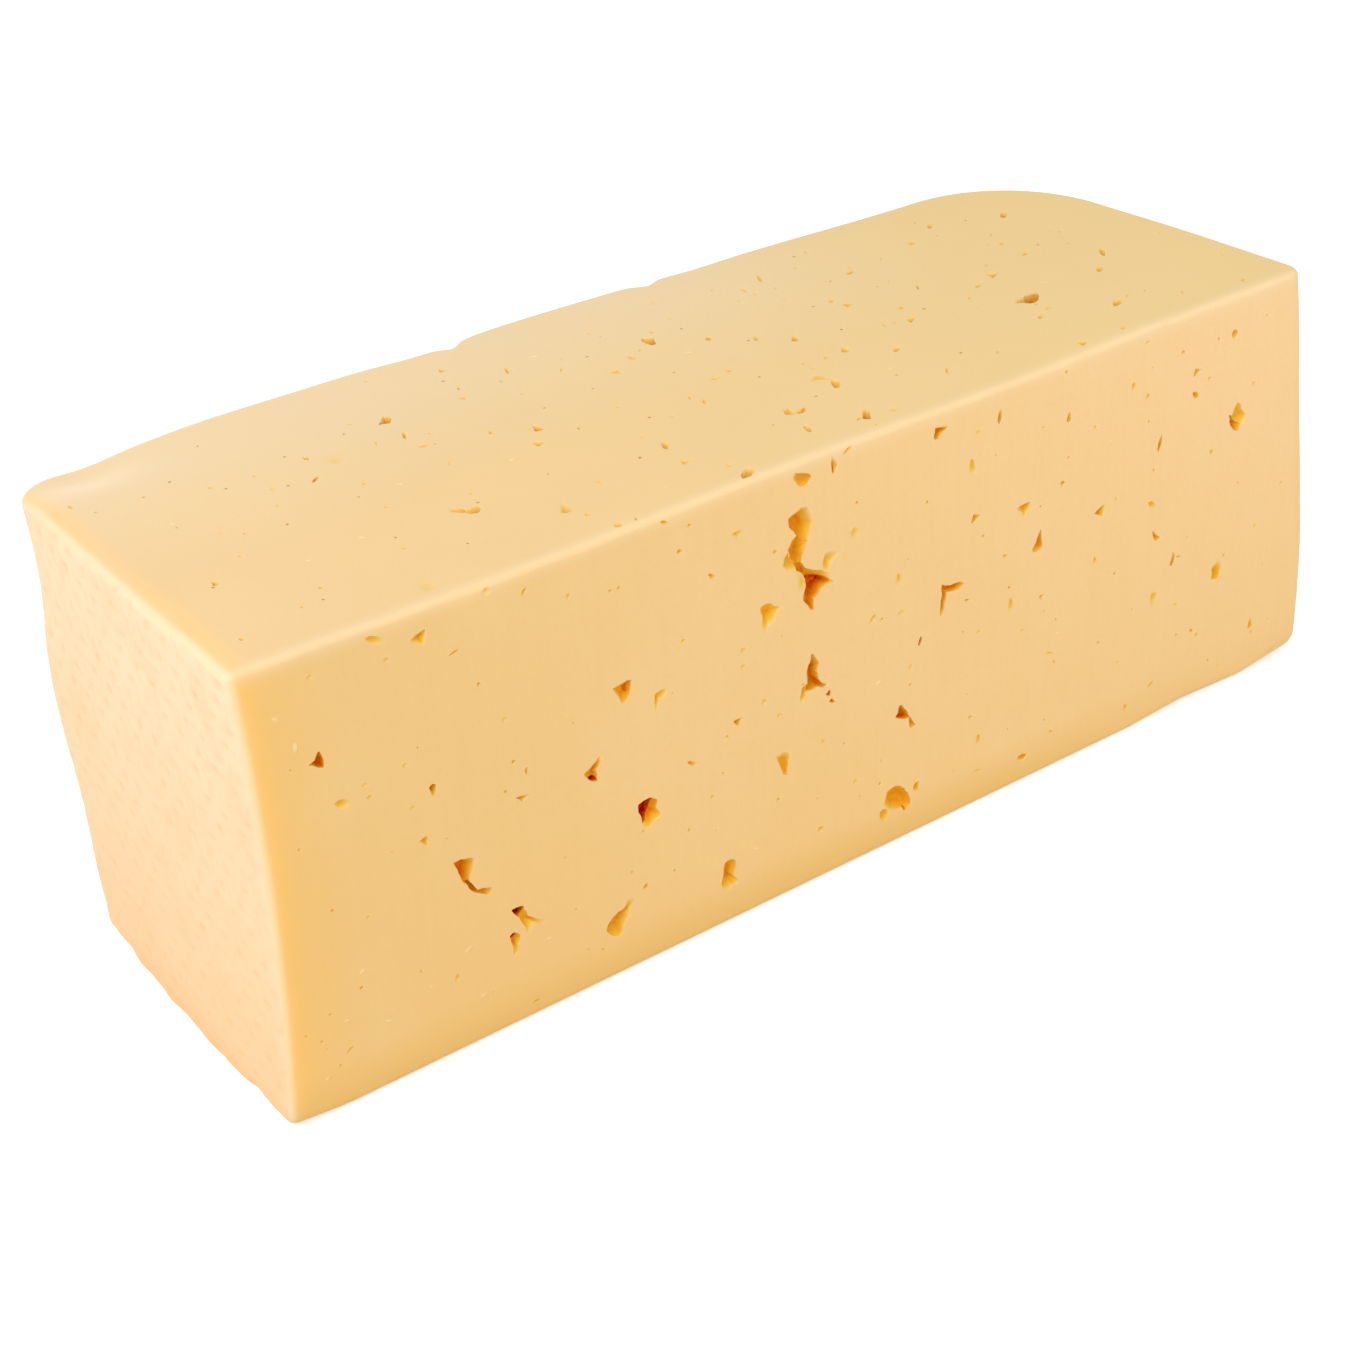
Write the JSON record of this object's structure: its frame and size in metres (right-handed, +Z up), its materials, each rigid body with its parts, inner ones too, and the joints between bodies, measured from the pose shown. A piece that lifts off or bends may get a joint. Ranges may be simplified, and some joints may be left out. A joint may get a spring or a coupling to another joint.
{
  "type": "dutch cheese block",
  "caption": "Oblong block of semi-hard cheese with two cut faces full of small irregular eyes and a dimpled rind on its other sides.",
  "frame": {"origin": "on the surface that the block rests on, under the middle of its box", "axes": "+X along the block towards its round-cornered end, +Y from its cut front to its back, +Z up"},
  "size_m": [0.3052, 0.1084, 0.11],
  "materials": {
    "paste": "moist waxy paste, pale golden, amber inside the eyes"
  },
  "bodies": {
    "root": {"cheese_block": "paste"}
  },
  "joints": []
}
